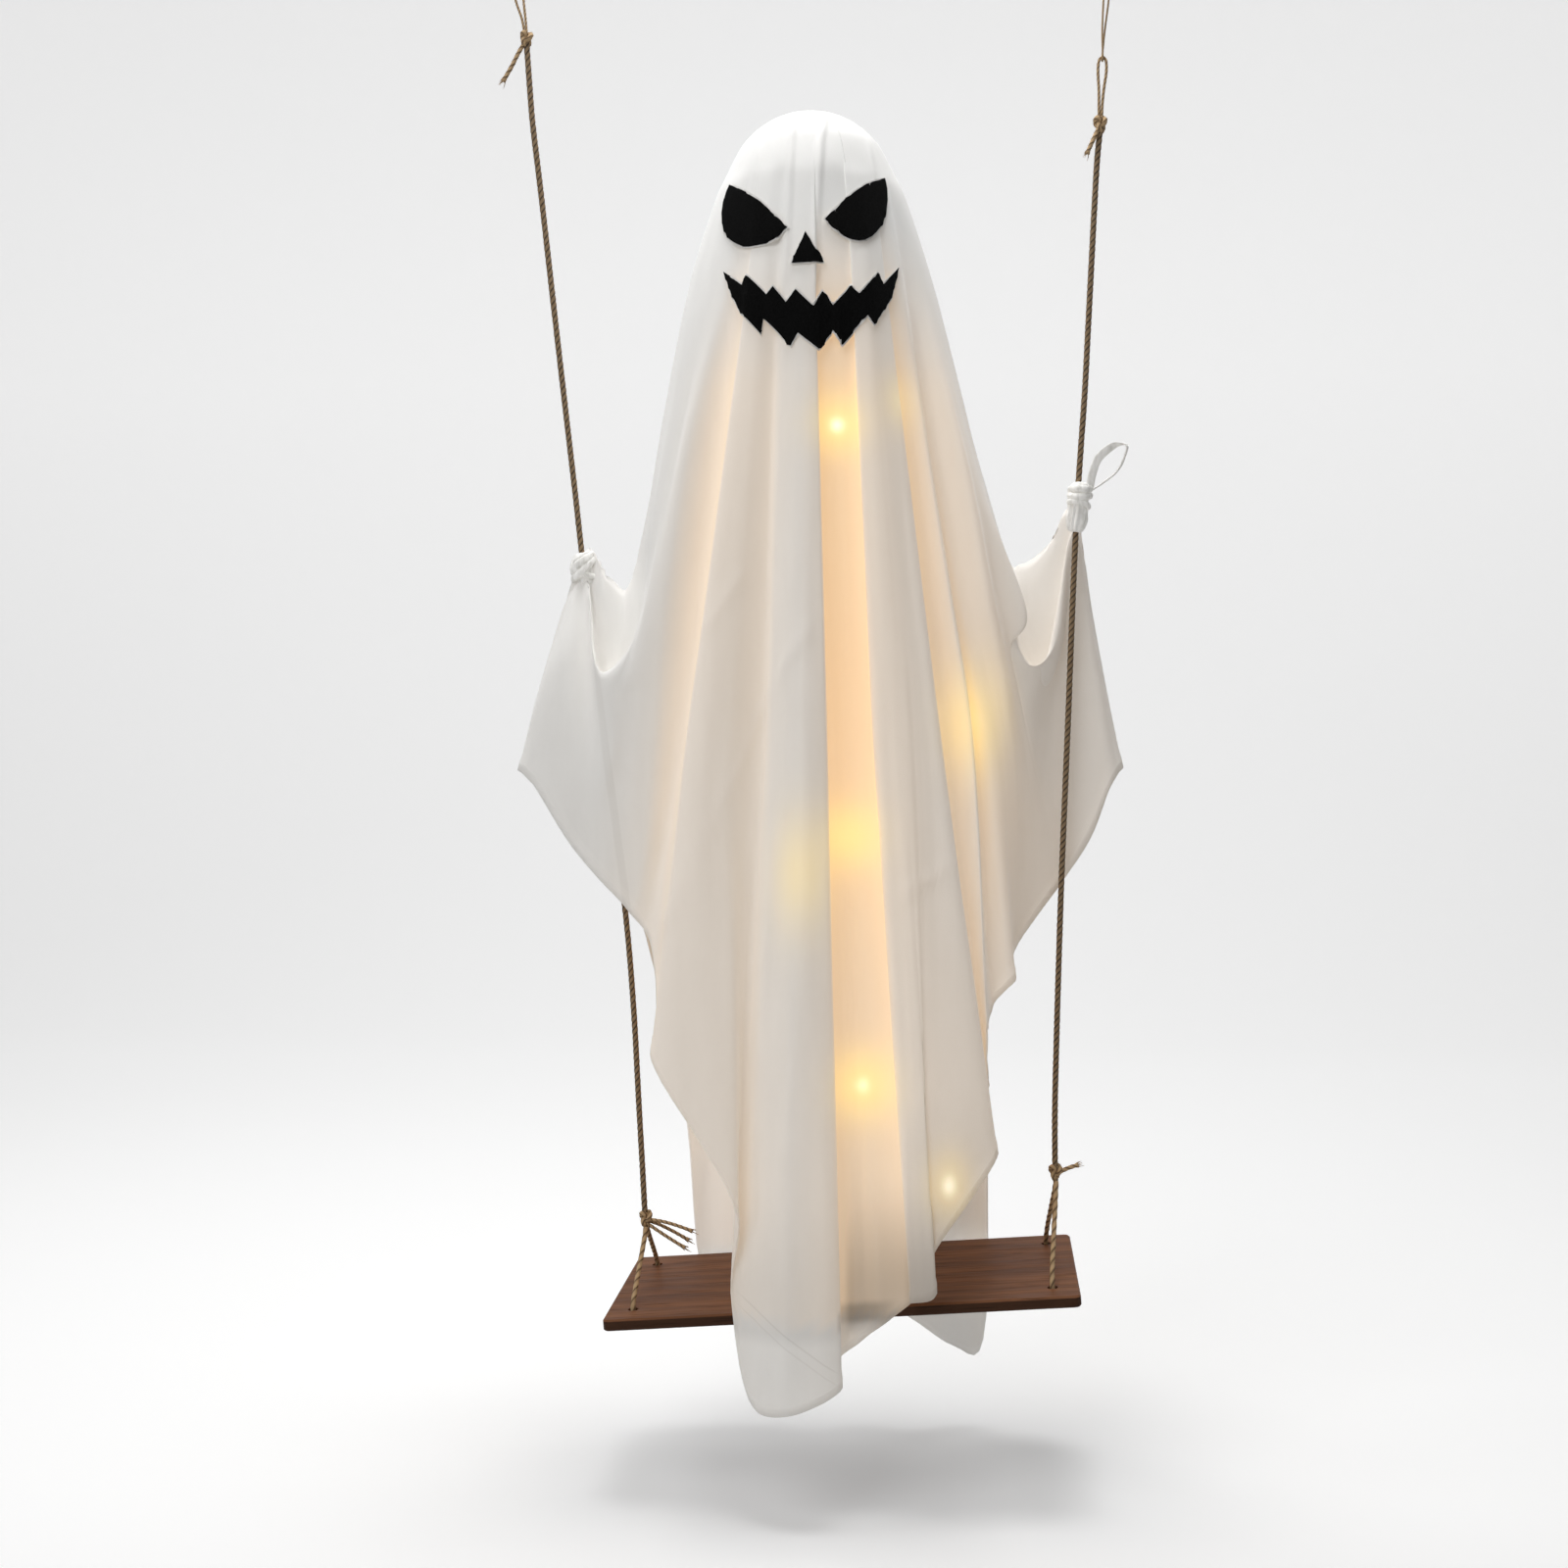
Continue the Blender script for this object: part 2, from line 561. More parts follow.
# Post, its flange and the flange's screws
def post_and_flange():
    """Make the dowel that carries the head, standing in its flange."""
    seat_of_post = FLANGE_THICKNESS + 2 * GAP
    top = HEAD_HEIGHT - HEAD_RADIUS + HEAD_BORE_DEPTH - GAP
    link("post", turned_mesh("post", [
        (0, seat_of_post),
        (POST_RADIUS, seat_of_post),
        (POST_RADIUS, top),
        (0, top),
    ]), DOWEL, TILT, (POST_OFFSET, 0, 0))
    bore = POST_RADIUS + GAP
    flange = link("post_flange", turned_mesh("post_flange", [
        (0, GAP),
        (FLANGE_RADIUS, GAP),
        (FLANGE_RADIUS, FLANGE_THICKNESS + GAP),
        (bore + SOCKET_WALL, FLANGE_THICKNESS + GAP),
        (bore + SOCKET_WALL, SOCKET_HEIGHT),
        (bore, SOCKET_HEIGHT),
        (bore, FLANGE_THICKNESS + GAP),
        (0, FLANGE_THICKNESS + GAP),
    ]), STEEL, TILT, (POST_OFFSET, 0, 0))
    plate_top = FLANGE_THICKNESS + GAP
    for number in range(4):
        angle = pi / 4 + number * pi / 2
        place = (FLANGE_SCREW_RADIUS * cos(angle), FLANGE_SCREW_RADIUS * sin(angle), 0)
        combine(flange, turned_mesh("flange_hole", [
            (0, -OVERRUN),
            (SCREW_SHANK / 2 + GAP, -OVERRUN),
            (SCREW_SHANK / 2 + GAP, plate_top + OVERRUN),
            (0, plate_top + OVERRUN),
        ], SMALL_ROUND_STEPS), place=place)
        link(f"flange_screw_{number + 1}", turned_mesh("flange_screw", [
            (0, -SCREW_REACH),
            (SCREW_SHANK / 2, -SCREW_REACH),
            (SCREW_SHANK / 2, plate_top + GAP),
            (SCREW_HEAD / 2, plate_top + GAP),
            (SCREW_HEAD / 2, plate_top + GAP + SCREW_HEAD_HEIGHT / 2),
            (SCREW_HEAD / 4, plate_top + GAP + SCREW_HEAD_HEIGHT),
            (0, plate_top + GAP + SCREW_HEAD_HEIGHT),
        ], SMALL_ROUND_STEPS), STEEL, TILT, (POST_OFFSET + place[0], place[1], 0))


def head_ball():
    """Make the foam head, bored from below for the post."""
    work = bmesh.new()
    bmesh.ops.create_uvsphere(work, u_segments=ROUND_STEPS, v_segments=BALL_RINGS, radius=HEAD_RADIUS)
    ball = link("head_ball", mesh_of(work, "head_ball", pi), FOAM, TILT, (POST_OFFSET, 0, HEAD_HEIGHT))
    bore = POST_RADIUS + GAP
    combine(ball, turned_mesh("head_bore", [
        (0, -HEAD_RADIUS - OVERRUN),
        (bore, -HEAD_RADIUS - OVERRUN),
        (bore, HEAD_BORE_DEPTH - HEAD_RADIUS),
        (0, HEAD_BORE_DEPTH - HEAD_RADIUS),
    ]))


post_and_flange()
head_ball()

# Light string: where the wire goes round the post, as turns in degrees, heights up the
# post as shares of the head's height and distances from its axis as shares of the
# head's radius. The numbers after that are the stations that carry a bulb.
WIRE_STATION_SHARES = [
    (38, 0.0857, 0.481), (0, 0.0952, 0.700), (-60, 0.1238, 0.375),
    (-135, 0.1905, 0.212), (-250, 0.2667, 0.200), (-360, 0.3333, 0.225),
    (-470, 0.4095, 0.225), (-540, 0.3905, 0.700), (-600, 0.4381, 0.275),
    (-680, 0.4952, 0.500), (-720, 0.5219, 1.150), (-770, 0.5714, 0.438),
    (-880, 0.6476, 0.200), (-990, 0.7238, 0.225), (-1080, 0.8095, 0.875),
    (-1170, 0.7905, 0.250), (-1290, 0.8571, 0.200),
]
BULB_STATIONS = (1, 3, 6, 7, 10, 14, 15)
STATION_LOOK_SHARE = 0.1


def round_post(station):
    """The place of a station of the light string in the seat's frame."""
    turn, height, reach = station
    angle = radians(turn)
    distance = HEAD_RADIUS * reach
    return Vector((POST_OFFSET + distance * cos(angle), distance * sin(angle), HEAD_HEIGHT * height))


def light_string():
    """Make the wire round the post and the bulbs that sit on it."""
    stations = as_vectors(WIRE_STATION_SHARES)
    route = [round_post(station) for station in spaced_route(stations, WIRE_STEPS)]
    cord("light_wire", route, WIRE, WIRE_LOOK, TILT)
    base = WIRE / 2 + GAP * 3
    last = len(stations) - 1
    for number, station in enumerate(BULB_STATIONS):
        place = round_post(stations[station])
        before = round_post(smooth_through(stations, (station - STATION_LOOK_SHARE) / last))
        after = round_post(smooth_through(stations, (station + STATION_LOOK_SHARE) / last))
        along = (after - before).normalized()
        turn = radians(stations[station].x)
        outward = Vector((cos(turn), sin(turn), 0))
        outward = (outward - along * outward.dot(along)).normalized()
        tip = base + BULB_LENGTH
        shoulder = tip - BULB_RADIUS
        profile = [
            (0, base),
            (BULB_RADIUS, base),
            (BULB_RADIUS, shoulder),
            (BULB_RADIUS * sin(pi / 3), shoulder + BULB_RADIUS * cos(pi / 3)),
            (0, tip),
        ]
        turned = outward.to_track_quat("Z", "Y").to_euler()
        link(f"bulb_{number + 1}", turned_mesh("bulb", profile, 10), BULB_LOOK, TILT, place, turned)


light_string()


# Battery case behind the post: it clips round the post and its cover slides up
CASE_FRONT = POST_RADIUS + GAP + CLIP_WALL / 2
CASE_BACK = CASE_FRONT + CASE_DEPTH
CASE_BOTTOM = CASE_MIDDLE_HEIGHT - CASE_HEIGHT / 2
CASE_TOP = CASE_MIDDLE_HEIGHT + CASE_HEIGHT / 2
INNER_WIDTH = CASE_WIDTH - 2 * CASE_WALL
INNER_HEIGHT = CASE_HEIGHT - 2 * CASE_WALL
COVER_FRONT = CASE_BACK - COVER_THICKNESS - CASE_WALL / 2
SWITCH_HEIGHT = CASE_MIDDLE_HEIGHT - CASE_HEIGHT / 5
SWITCH_PLACE = CASE_FRONT + CASE_DEPTH * SWITCH_DEPTH_SHARE


def battery_case():
    """Make the open case with its clip, cover slot and switch slot."""
    middle_y = (CASE_FRONT + CASE_BACK) / 2
    case = link("battery_case", box_mesh("battery_case", (CASE_WIDTH, CASE_DEPTH, CASE_HEIGHT)),
                PLASTIC, TILT, (POST_OFFSET, middle_y, CASE_MIDDLE_HEIGHT))
    bore = POST_RADIUS + GAP
    outer = bore + CLIP_WALL
    half = CLIP_HEIGHT / 2
    clip = turned_mesh("case_clip", [(bore, -half), (outer, -half), (outer, half), (bore, half)])
    combine(case, clip, "UNION", (0, -middle_y, 0))
    cavity_depth = CASE_DEPTH - CASE_WALL - CLIP_WALL / 2 + OVERRUN
    combine(case, box_mesh("cavity", (INNER_WIDTH, cavity_depth, INNER_HEIGHT)),
            place=(0, (CASE_DEPTH - cavity_depth) / 2 + OVERRUN, 0))
    slot = box_mesh("cover_slot", (
        INNER_WIDTH + 2 * COVER_TONGUE + 2 * GAP,
        COVER_THICKNESS + 2 * GAP,
        CASE_HEIGHT,
    ))
    combine(case, slot, place=(0, COVER_FRONT + COVER_THICKNESS / 2 - middle_y, CASE_WALL / 2))
    notch_depth = CASE_WALL / 2 + COVER_THICKNESS / 2 + OVERRUN
    notch = box_mesh("cover_notch", (INNER_WIDTH / 2, notch_depth, CASE_WALL + 2 * OVERRUN))
    combine(case, notch, place=(0, CASE_DEPTH / 2 + OVERRUN - notch_depth / 2, CASE_HEIGHT / 2))
    switch_slot = box_mesh("switch_slot", (
        CASE_WALL * 3,
        SWITCH_DEPTH + 2 * GAP,
        SWITCH_STEM + SWITCH_TRAVEL + 2 * GAP,
    ))
    combine(case, switch_slot, place=(CASE_WIDTH / 2 - CASE_WALL, SWITCH_PLACE - middle_y,
                                      SWITCH_HEIGHT + SWITCH_TRAVEL / 2 - CASE_MIDDLE_HEIGHT))


def battery_cover():
    """Make the cover, with two finger ridges, in its slot in the case."""
    height = CASE_HEIGHT - CASE_WALL / 2 - GAP
    bottom = CASE_BOTTOM + CASE_WALL / 2 + GAP
    middle = (POST_OFFSET, COVER_FRONT + COVER_THICKNESS / 2, bottom + height / 2)
    width = INNER_WIDTH + 2 * COVER_TONGUE
    cover = link("battery_cover", box_mesh("battery_cover", (width, COVER_THICKNESS, height)),
                 PLASTIC, TILT, middle)
    for side in (-1, 1):
        ridge = box_mesh("ridge", (INNER_WIDTH / 3, GRIP_RISE * 2, GRIP_HEIGHT))
        combine(cover, ridge, "UNION", (0, COVER_THICKNESS / 2, side * GRIP_HEIGHT + height / 3))


def switch_slider():
    """Make the slide switch's knob, which stands through its slot."""
    wall_inner = CASE_WIDTH / 2 - CASE_WALL
    length = CASE_WALL + SWITCH_KNOB + GAP
    slider = link("switch_slider", box_mesh("switch_slider", (length, SWITCH_DEPTH, SWITCH_STEM)), PLASTIC,
                  TILT, (POST_OFFSET + wall_inner - GAP + length / 2, SWITCH_PLACE, SWITCH_HEIGHT))
    flange = box_mesh("switch_flange", (
        SWITCH_FLANGE,
        SWITCH_DEPTH + 2 * SWITCH_FLANGE,
        SWITCH_STEM + 2 * SWITCH_TRAVEL,
    ))
    combine(slider, flange, "UNION", (-length / 2 - SWITCH_FLANGE / 2, 0, 0))


def batteries():
    """Make three cells side by side between two contact strips."""
    pitch = 2 * BATTERY_RADIUS + BATTERY_GAP
    first = -CASE_WIDTH / 2 + CASE_WALL + BATTERY_RADIUS + BATTERY_GAP
    place_y = CASE_FRONT + CASE_WALL + CLIP_WALL / 2 + BATTERY_RADIUS + BATTERY_GAP
    bottom = CASE_BOTTOM + CASE_WALL + GAP + CONTACT_THICKNESS + SPRING_NUB + GAP
    strip = (3 * pitch - BATTERY_GAP, BATTERY_RADIUS, CONTACT_THICKNESS)
    for name, up, height in (
        ("battery_springs", 1, CASE_BOTTOM + CASE_WALL + GAP),
        ("battery_contacts", -1, CASE_TOP - CASE_WALL - GAP),
    ):
        contact = link(name, box_mesh(name, strip), STEEL, TILT,
                       (POST_OFFSET + first + pitch, place_y, height + up * CONTACT_THICKNESS / 2))
        reach = SPRING_NUB if up > 0 else CONTACT_NUB
        for number in (-1, 0, 1):
            nub = swept_mesh("nub", [
                Vector((0, 0, 0)),
                Vector((0, 0, up * (CONTACT_THICKNESS / 2 + reach))),
            ], [BATTERY_RADIUS / 2, BATTERY_RADIUS / 4], 10)
            combine(contact, nub, "UNION", (number * pitch, 0, 0))
    for number in range(3):
        link(f"battery_{number + 1}", turned_mesh("battery", [
            (0, 0),
            (BATTERY_RADIUS, 0),
            (BATTERY_RADIUS, BATTERY_LENGTH - CONTACT_THICKNESS),
            (BATTERY_RADIUS / 3, BATTERY_LENGTH - CONTACT_THICKNESS),
            (BATTERY_RADIUS / 3, BATTERY_LENGTH),
            (0, BATTERY_LENGTH),
        ], 18), CELL_LOOK, TILT, (POST_OFFSET + first + number * pitch, place_y, bottom))


battery_case()
battery_cover()
switch_slider()
batteries()

# The sheet. Seen from the front, a column of its net runs from the top of the head
# down one fold. Sideways places are shares of SHEET_HALF_WIDTH, places to the back are
# shares of SHEET_HALF_DEPTH, and depths below the top are shares of SHEET_LENGTH.
NECK_SHARE = 0.144
WAIST_SHARE = 0.485
HEAD_RING_SHARES = (0.055, 0.11, 0.165, 0.22, 0.27, 0.32, 0.43, 0.53)
LEAVING_SHARE = 0.32
ROWS_BELOW_NECK = 7
SHEET_TOP = HEAD_HEIGHT + HEAD_RADIUS + SHEET_REST

# Front folds, left to right: sideways and back at the neck, the waist and the hem,
# then the depth of the hem
FRONT_FOLD_SHARES = [
    (-0.53, -0.68, -0.79, -0.58, -0.93, -0.52, 0.642),
    (-0.46, -0.82, -0.745, -0.96, -0.90, -1.12, 0.725),
    (-0.40, -0.86, -0.575, -0.98, -0.735, -1.28, 0.782),
    (-0.34, -0.86, -0.415, -0.82, -0.54, -1.14, 0.850),
    (-0.30, -0.92, -0.36, -1.00, -0.465, -1.28, 0.969),
    (-0.23, -0.96, -0.24, -1.18, -0.29, -1.50, 0.976),
    (-0.165, -0.97, -0.115, -1.16, -0.05, -1.46, 0.958),
    (-0.14, -0.90, -0.09, -0.90, -0.015, -1.24, 0.938),
    (-0.06, -0.86, 0.00, -0.74, 0.12, -1.20, 0.920),
    (0.02, -0.86, 0.115, -0.84, 0.27, -1.21, 0.898),
    (0.08, -0.88, 0.24, -1.06, 0.40, -1.40, 0.886),
    (0.125, -0.83, 0.33, -1.04, 0.52, -1.36, 0.830),
    (0.165, -0.76, 0.42, -0.96, 0.665, -1.22, 0.794),
    (0.21, -0.64, 0.465, -0.64, 0.68, -0.94, 0.777),
    (0.245, -0.58, 0.58, -0.76, 0.64, -0.98, 0.699),
    (0.275, -0.50, 0.68, -0.62, 0.75, -0.76, 0.641),
]
# Back folds, right to left, in the same form
BACK_FOLD_SHARES = [
    (0.265, 0.53, 0.69, 0.88, 0.775, 1.12, 0.845),
    (0.21, 0.66, 0.61, 1.04, 0.78, 1.28, 0.992),
    (0.14, 0.76, 0.475, 1.08, 0.58, 1.32, 0.986),
    (0.05, 0.85, 0.30, 1.00, 0.35, 1.24, 0.969),
    (-0.05, 0.90, 0.12, 1.14, 0.12, 1.34, 0.953),
    (-0.175, 0.92, -0.09, 1.00, -0.14, 1.24, 0.941),
    (-0.29, 0.90, -0.30, 1.14, -0.37, 1.36, 0.925),
    (-0.40, 0.84, -0.49, 1.02, -0.56, 1.30, 0.925),
    (-0.485, 0.76, -0.65, 1.08, -0.75, 1.34, 0.925),
    (-0.58, 0.64, -0.74, 0.88, -0.80, 0.98, 0.797),
]
# Right sleeve, front to back: eight points each (sideways, back, depth) from the neck
# over the shoulder to the hem. The fourth to sixth go by the rim of the sleeve's
# trough or its floor up to the hand and then down the sleeve's outer edge.
RIGHT_SLEEVE_SHARES = [
    [(0.335, -0.43, 0.144), (0.535, -0.62, 0.269), (0.65, -0.66, 0.365), (0.74, -0.58, 0.437),
     (0.79, -0.46, 0.493), (0.83, -0.36, 0.541), (0.87, -0.28, 0.581), (0.90, -0.22, 0.611)],
    [(0.375, -0.36, 0.144), (0.580, -0.50, 0.277), (0.71, -0.52, 0.373), (0.80, -0.44, 0.437),
     (0.86, -0.32, 0.485), (0.92, -0.20, 0.525), (0.97, -0.12, 0.565), (1.03, -0.08, 0.587)],
    [(0.405, -0.27, 0.144), (0.622, -0.38, 0.285), (0.75, -0.46, 0.385), (0.85, -0.38, 0.429),
     (0.92, -0.24, 0.453), (1.00, -0.10, 0.485), (1.08, -0.06, 0.525), (1.16, -0.05, 0.557)],
    [(0.425, -0.16, 0.144), (0.655, -0.26, 0.293), (0.77, -0.40, 0.395), (0.89, -0.34, 0.421),
     (0.96, -0.22, 0.416), (1.055, -0.06, 0.325), (1.19, -0.04, 0.421), (1.29, -0.04, 0.517)],
    [(0.435, -0.02, 0.144), (0.682, -0.08, 0.301), (0.83, -0.14, 0.377), (0.90, -0.10, 0.417),
     (0.97, -0.05, 0.400), (1.13, 0.00, 0.318), (1.20, 0.02, 0.405), (1.34, 0.02, 0.505)],
    [(0.425, 0.14, 0.144), (0.668, 0.16, 0.281), (0.815, 0.28, 0.341), (0.905, 0.24, 0.327),
     (0.99, 0.14, 0.314), (1.09, 0.02, 0.306), (1.20, 0.08, 0.405), (1.32, 0.08, 0.509)],
    [(0.395, 0.28, 0.144), (0.624, 0.36, 0.285), (0.76, 0.46, 0.373), (0.86, 0.36, 0.421),
     (0.95, 0.20, 0.453), (1.03, 0.10, 0.485), (1.11, 0.09, 0.525), (1.18, 0.09, 0.553)],
    [(0.345, 0.42, 0.144), (0.560, 0.56, 0.285), (0.69, 0.64, 0.381), (0.79, 0.56, 0.445),
     (0.86, 0.40, 0.501), (0.92, 0.24, 0.541), (0.98, 0.14, 0.573), (1.04, 0.10, 0.589)],
    [(0.305, 0.49, 0.144), (0.510, 0.66, 0.293), (0.64, 0.80, 0.397), (0.72, 0.82, 0.469),
     (0.75, 0.80, 0.541), (0.75, 0.76, 0.605), (0.73, 0.78, 0.669), (0.72, 0.84, 0.733)],
]
# Left sleeve, back to front, in the same form
LEFT_SLEEVE_SHARES = [
    [(-0.64, 0.56, 0.144), (-0.77, 0.68, 0.277), (-0.84, 0.76, 0.381), (-0.89, 0.74, 0.461),
     (-0.92, 0.62, 0.525), (-0.94, 0.48, 0.573), (-0.95, 0.38, 0.621), (-0.95, 0.34, 0.661)],
    [(-0.69, 0.47, 0.144), (-0.82, 0.58, 0.277), (-0.89, 0.62, 0.373), (-0.945, 0.52, 0.445),
     (-0.97, 0.34, 0.501), (-1.00, 0.14, 0.549), (-1.03, 0.04, 0.581), (-1.06, 0.00, 0.609)],
    [(-0.74, 0.32, 0.144), (-0.89, 0.36, 0.277), (-0.98, 0.40, 0.365), (-1.02, 0.30, 0.429),
     (-1.11, 0.10, 0.461), (-1.22, 0.04, 0.485), (-1.31, 0.04, 0.517), (-1.40, 0.04, 0.541)],
    [(-0.77, 0.12, 0.144), (-0.935, 0.14, 0.277), (-1.03, 0.18, 0.339), (-1.09, 0.14, 0.366),
     (-1.17, 0.10, 0.355), (-1.28, 0.08, 0.341), (-1.43, 0.04, 0.429), (-1.56, 0.04, 0.513)],
    [(-0.775, -0.08, 0.144), (-0.945, -0.10, 0.293), (-1.03, -0.18, 0.377), (-1.11, -0.20, 0.421),
     (-1.20, -0.18, 0.413), (-1.32, -0.02, 0.350), (-1.47, -0.08, 0.429), (-1.595, -0.06, 0.506)],
    [(-0.75, -0.27, 0.144), (-0.92, -0.34, 0.293), (-1.00, -0.44, 0.392), (-1.13, -0.52, 0.430),
     (-1.215, -0.46, 0.424), (-1.29, -0.14, 0.358), (-1.42, -0.22, 0.430), (-1.53, -0.20, 0.517)],
    [(-0.71, -0.40, 0.144), (-0.875, -0.46, 0.277), (-0.975, -0.54, 0.365), (-1.075, -0.58, 0.429),
     (-1.14, -0.54, 0.461), (-1.20, -0.44, 0.493), (-1.27, -0.36, 0.529), (-1.33, -0.30, 0.563)],
    [(-0.66, -0.52, 0.144), (-0.81, -0.56, 0.269), (-0.92, -0.62, 0.357), (-1.00, -0.62, 0.421),
     (-1.04, -0.58, 0.469), (-1.08, -0.52, 0.517), (-1.13, -0.46, 0.561), (-1.18, -0.40, 0.590)],
    [(-0.59, -0.62, 0.144), (-0.75, -0.68, 0.253), (-0.84, -0.70, 0.349), (-0.89, -0.66, 0.421),
     (-0.92, -0.62, 0.485), (-0.95, -0.58, 0.541), (-0.99, -0.52, 0.589), (-1.04, -0.46, 0.614)],
]


def fold_column(shares):
    """Points of a fold from the neck to the hem, given its three places."""
    neck_x, neck_y, waist_x, waist_y, hem_x, hem_y, hem_depth = shares
    waist = (WAIST_SHARE - NECK_SHARE) / (hem_depth - NECK_SHARE)
    points = []
    for row in range(ROWS_BELOW_NECK + 1):
        down = row / ROWS_BELOW_NECK
        if down < waist:
            part = down / waist
            x = neck_x + (waist_x - neck_x) * part
            y = neck_y + (waist_y - neck_y) * part
        else:
            part = (down - waist) / (1 - waist)
            x = waist_x + (hem_x - waist_x) * part
            y = waist_y + (hem_y - waist_y) * part
        points.append((x, y, NECK_SHARE + (hem_depth - NECK_SHARE) * down))
    return points


def sheet_columns():
    """All columns round the ghost as points in the figure's frame."""
    columns = [fold_column(shares) for shares in FRONT_FOLD_SHARES]
    columns += RIGHT_SLEEVE_SHARES
    columns += [fold_column(shares) for shares in BACK_FOLD_SHARES]
    columns += LEFT_SLEEVE_SHARES
    head = head_middle()
    placed = []
    for column in columns:
        points = []
        for x, y, down in column:
            height = SHEET_TOP - down * SHEET_LENGTH
            points.append(Vector((x * SHEET_HALF_WIDTH, y * SHEET_HALF_DEPTH, height)))
        angle = atan2(points[0].x - head.x, head.y - points[0].y)
        radius = HEAD_RADIUS + SHEET_REST
        spoke = Vector((sin(angle), -cos(angle), 0))
        neck = (points[0] - head).dot(spoke)
        fall = (head.z - points[0].z) / radius
        crown = []
        for share in HEAD_RING_SHARES:
            tilt = pi * share
            leaves = pi * LEAVING_SHARE
            down = (cos(leaves) - cos(tilt)) / (cos(leaves) + fall)
            straight = radius * sin(leaves) * (1 - down) + neck * down
            ring = radius * sin(tilt)
            if down > 0:
                ring = max(ring, straight + DRAPE_BULGE * 4 * down * (1 - down))
            crown.append(head + spoke * ring + Vector((0, 0, radius * cos(tilt))))
        placed.append(crown + points)
    return placed


def head_middle():
    """The middle of the head ball in the figure's frame."""
    lean = Matrix.Rotation(-SEAT_ROLL, 4, "Y")
    turn = Matrix.Rotation(-FIGURE_TURN, 4, "Z")
    return turn @ lean @ Vector((POST_OFFSET, 0, HEAD_HEIGHT))


def sheet_net(name, lift=0.0):
    """Make the net of triangles, moved outwards from its surface by the given lift."""
    columns = sheet_columns()
    work = bmesh.new()
    top = work.verts.new(head_middle() + Vector((0, 0, HEAD_RADIUS + SHEET_REST)))
    rows = [[work.verts.new(point) for point in column] for column in columns]
    for index, column in enumerate(rows):
        after = rows[(index + 1) % len(rows)]
        work.faces.new((top, column[0], after[0]))
        for row in range(len(column) - 1):
            work.faces.new((column[row], column[row + 1], after[row + 1]))
            work.faces.new((column[row], after[row + 1], after[row]))
    bmesh.ops.recalc_face_normals(work, faces=work.faces)
    work.normal_update()
    for corner, normal in [(corner, corner.normal.copy()) for corner in work.verts]:
        corner.co += normal * lift
    return mesh_of(work, name, pi)


def sheet():
    """Make the sheet, with its cloth's thickness outwards from the net."""
    cloth = link("sheet", sheet_net("sheet"), COTTON, FIGURE)
    solid = cloth.modifiers.new("Cloth thickness", "SOLIDIFY")
    solid.thickness = SHEET_THICKNESS
    solid.offset = 1


sheet()


# Hand knots: the sleeve is tied round the rope, so each knot is a bored barrel. The
# loop of cloth at the right one is given as shares of half its width, from the knot.
HAND_LOOP_SHARES = [
    (0, 0.7), (0.8, 0.7), (1.6, 1.0), (3.4, 4.4), (6.6, 6.6), (11.0, 7.9), (12.6, 6.2), (10.2, 3.0),
    (5.2, -0.9), (1.7, -2.4), (0.8, -2.5), (0, -2.5),
]


def hand_knot(name, middle, along, height):
    """Make a barrel round the rope, turned to the rope's direction."""
    bore = ROPE / 2 + 2 * GAP
    waist = (HAND_KNOT_RADIUS + bore) / 2
    profile = [
        (bore, -height / 2), (waist, -height / 2),
        (HAND_KNOT_RADIUS, -height / 4), (HAND_KNOT_RADIUS, height / 4),
        (waist, height / 2), (bore, height / 2),
    ]
    turned = along.to_track_quat("Z", "Y").to_euler()
    return link(name, turned_mesh(name, profile, 16), COTTON, None, middle, turned)


def hand_loop(name, middle):
    """Make the loop of cloth that stands out of the right hand's knot."""
    half = HAND_LOOP_WIDTH / 2
    start = HAND_KNOT_RADIUS + 2 * GAP
    points = [middle + Vector((start + x * half, 0, z * half)) for x, z in HAND_LOOP_SHARES]
    route = spaced_route(points, LOOP_STEPS)
    return link(name, swept_mesh(name, route, [half] * len(route), 8), COTTON)


def rope_at(points, height):
    """The place of a rope and its upward direction at a given height."""
    route = even_route(points, ROPE)
    for upper, lower in zip(route, route[1:]):
        if lower.z <= height:
            share = (upper.z - height) / (upper.z - lower.z)
            return upper.lerp(lower, share), upper - lower


LEFT_HAND, LEFT_ALONG = rope_at(LEFT_ROPE, -LEFT_HAND_DROP)
RIGHT_HAND, RIGHT_ALONG = rope_at(RIGHT_ROPE, -RIGHT_HAND_DROP)
hand_knot("left_hand_knot", LEFT_HAND, LEFT_ALONG, LEFT_HAND_HEIGHT)
hand_knot("right_hand_knot", RIGHT_HAND, RIGHT_ALONG, RIGHT_HAND_HEIGHT)
hand_loop("right_hand_loop", RIGHT_HAND)

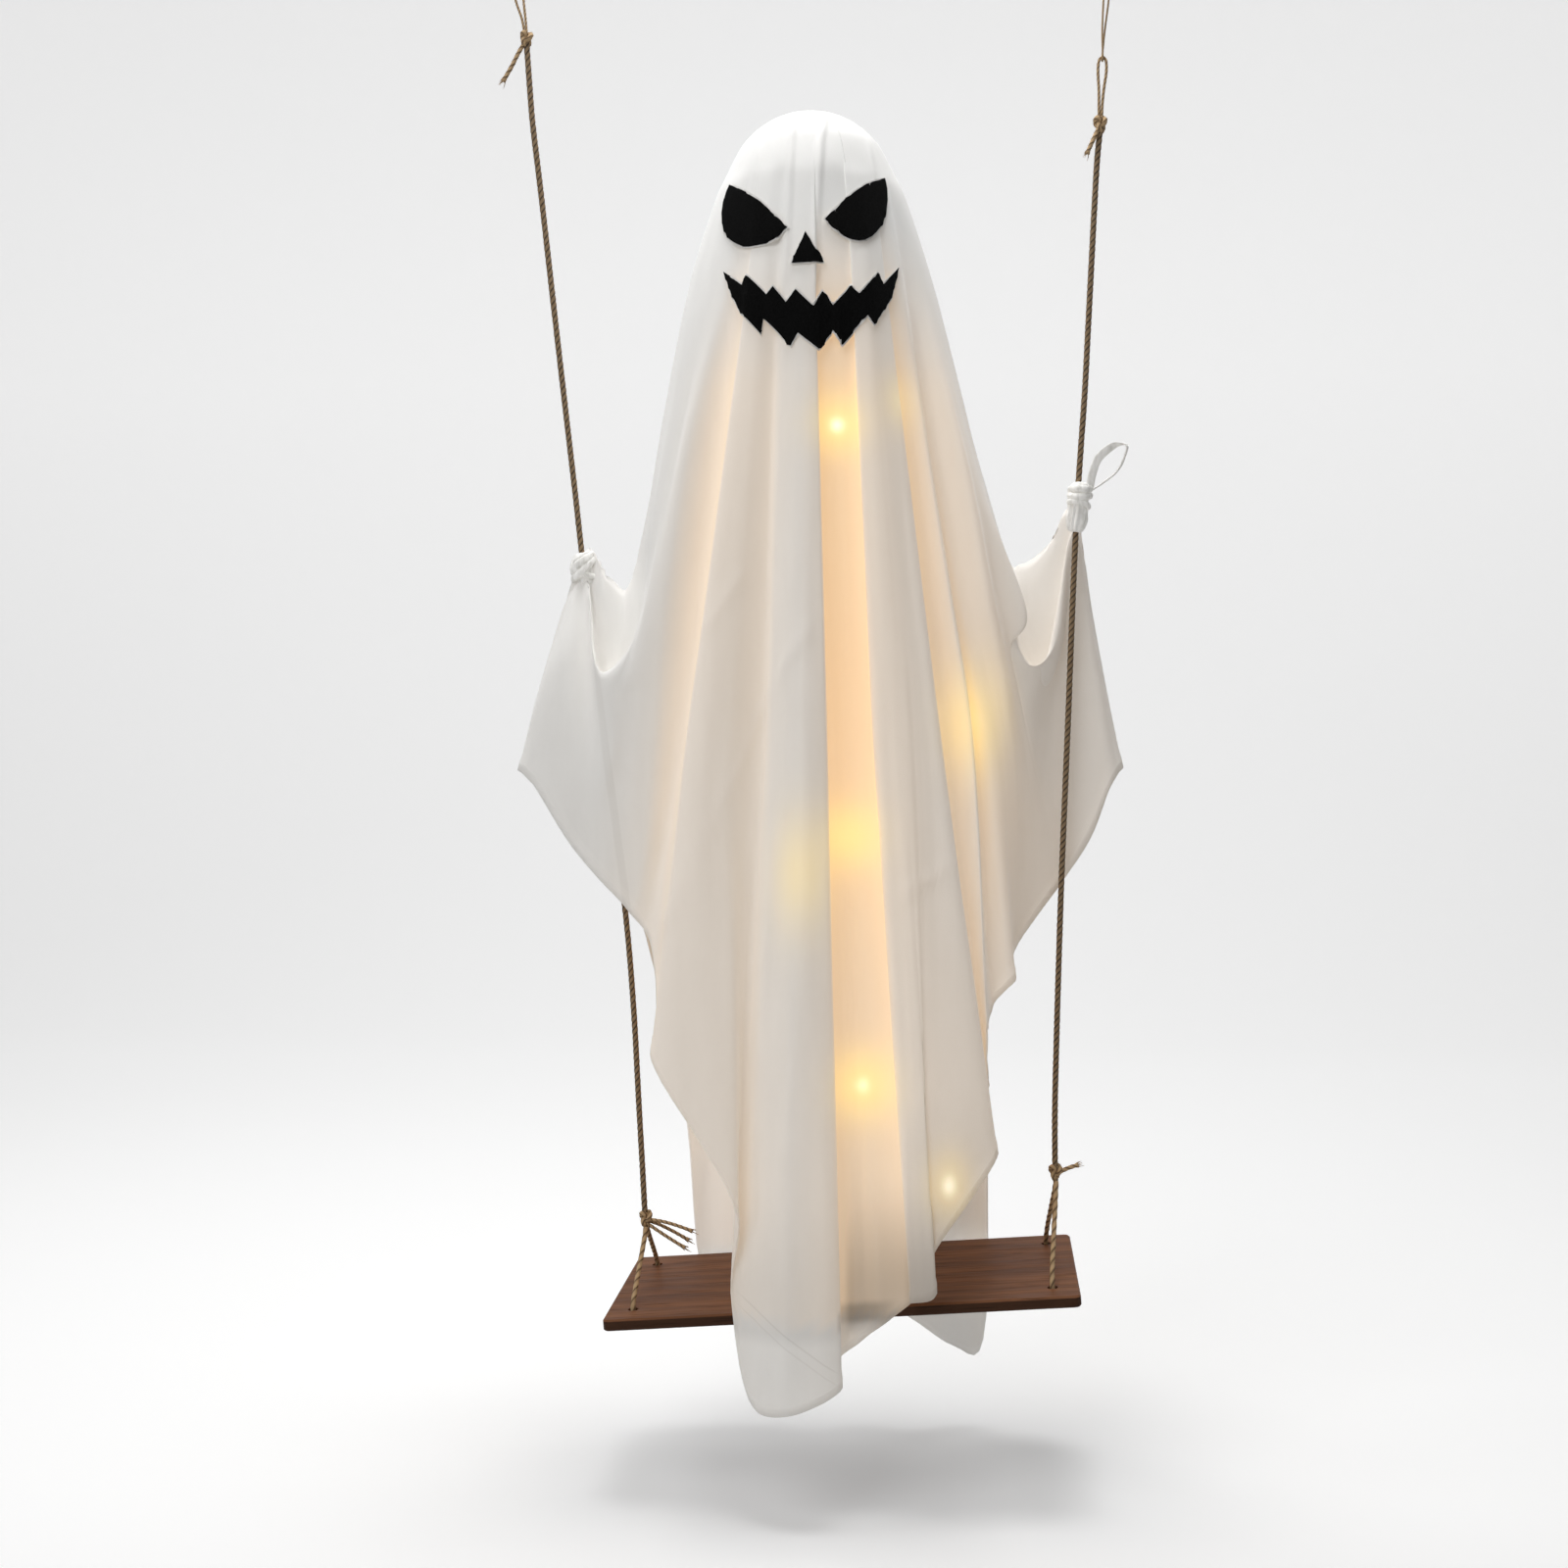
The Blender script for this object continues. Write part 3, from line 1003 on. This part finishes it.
# Felt face: outlines seen from the front, as shares of the face's width and height
LEFT_EYE_SHARES = [
    (-0.477, 0.466), (-0.301, 0.336), (-0.145, 0.174), (-0.199, 0.126), (-0.267, 0.095),
    (-0.347, 0.086), (-0.443, 0.115), (-0.506, 0.184), (-0.524, 0.264), (-0.517, 0.348),
]
RIGHT_EYE_SHARES = [
    (0.411, 0.498), (0.066, 0.228), (0.174, 0.138), (0.261, 0.113), (0.324, 0.138),
    (0.381, 0.207), (0.432, 0.374),
]
NOSE_SHARES = [(-0.041, 0.160), (-0.122, 0.002), (0.056, 0.005)]
MOUTH_SHARES = [
    (-0.501, -0.045), (-0.394, -0.137), (-0.368, -0.086), (-0.256, -0.200), (-0.220, -0.157),
    (-0.143, -0.247), (-0.089, -0.180), (0.003, -0.268), (0.060, -0.189), (0.122, -0.259),
    (0.226, -0.157), (0.272, -0.198), (0.373, -0.077), (0.402, -0.137), (0.501, -0.025),
    (0.452, -0.203), (0.353, -0.360), (0.319, -0.315), (0.174, -0.474), (0.122, -0.401),
    (0.031, -0.499), (-0.078, -0.413), (-0.118, -0.479), (-0.278, -0.321), (-0.292, -0.411),
    (-0.383, -0.309), (-0.452, -0.192),
]


def felt_piece(name, shares):
    """Cut a flat outline out of a felt layer that lies on the front of the sheet."""
    felt = link(name, sheet_net(name, SHEET_THICKNESS + FELT_LIFT), FELT_LOOK, FIGURE)
    layer = felt.modifiers.new("Felt thickness", "SOLIDIFY")
    layer.thickness = FELT
    layer.offset = 1
    middle_z = SHEET_TOP - FACE_DROP
    work = bmesh.new()
    outline = []
    for x, z in shares:
        place = (FACE_OFFSET + x * FACE_WIDTH, -SHEET_HALF_WIDTH, middle_z + z * FACE_HEIGHT)
        outline.append(work.verts.new(place))
    face = work.faces.new(outline)
    back = bmesh.ops.extrude_face_region(work, geom=[face])["geom"]
    moved = [item for item in back if isinstance(item, bmesh.types.BMVert)]
    bmesh.ops.translate(work, verts=moved, vec=(0, SHEET_HALF_WIDTH - SHEET_HALF_DEPTH / 4, 0))
    combine(felt, mesh_of(work, name + "_outline"), "INTERSECT")


felt_piece("left_eye", LEFT_EYE_SHARES)
felt_piece("right_eye", RIGHT_EYE_SHARES)
felt_piece("nose", NOSE_SHARES)
felt_piece("mouth", MOUTH_SHARES)
